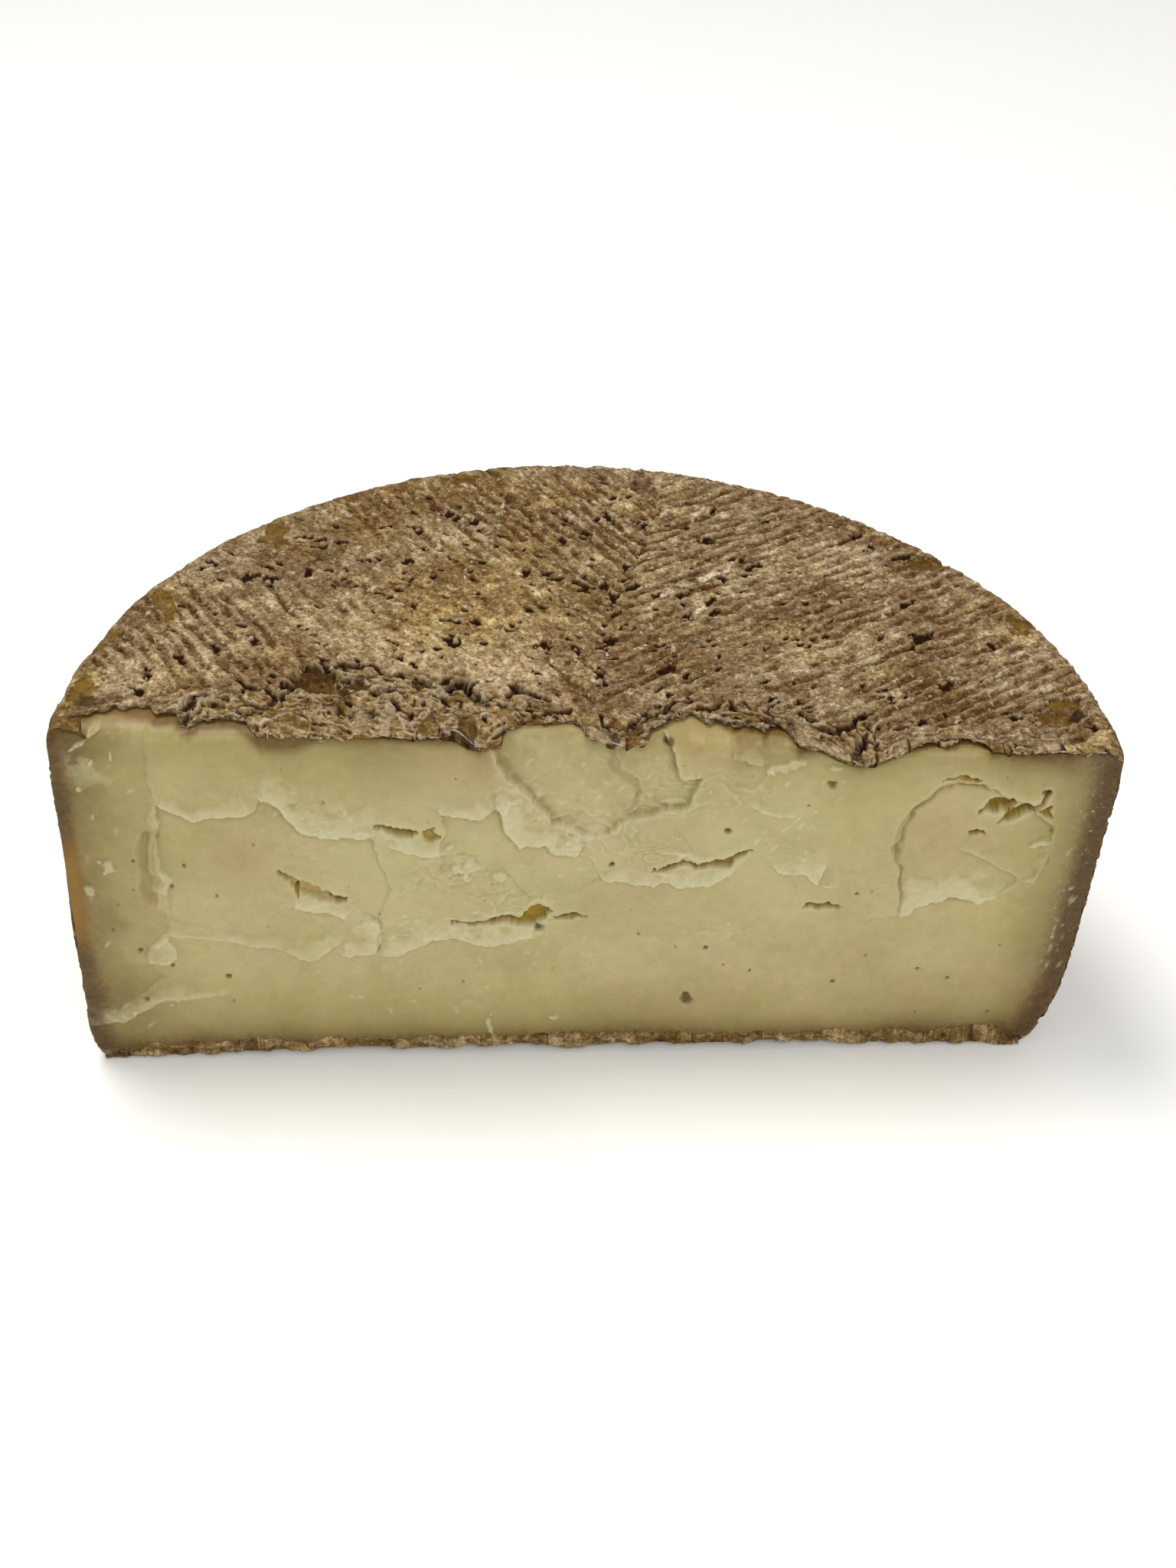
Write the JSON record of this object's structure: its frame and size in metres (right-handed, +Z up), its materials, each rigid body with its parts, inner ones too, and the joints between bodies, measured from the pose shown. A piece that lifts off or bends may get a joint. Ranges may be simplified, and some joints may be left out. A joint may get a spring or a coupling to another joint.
{
  "type": "half cheese wheel",
  "caption": "half of an aged hard cheese wheel with a rough natural rind, a grooved chevron top and a flaky cut face, resting flat on its base",
  "frame": {"origin": "bottom centre of the bounding box, on the surface the half wheel rests on", "axes": "+X along the cut, to the viewer's right when facing the cut face; +Y away from the cut face towards the round back; +Z up"},
  "size_m": [0.2448, 0.1224, 0.104],
  "materials": {
    "rind": "dry, crumbly grey-brown natural rind with ochre patches, dark pits and pale flecks",
    "paste": "waxy straw-ivory paste, slightly translucent, paler where it tore, browner under the rind"
  },
  "bodies": {
    "root": {"cheese_half_wheel": "paste"}
  },
  "joints": []
}
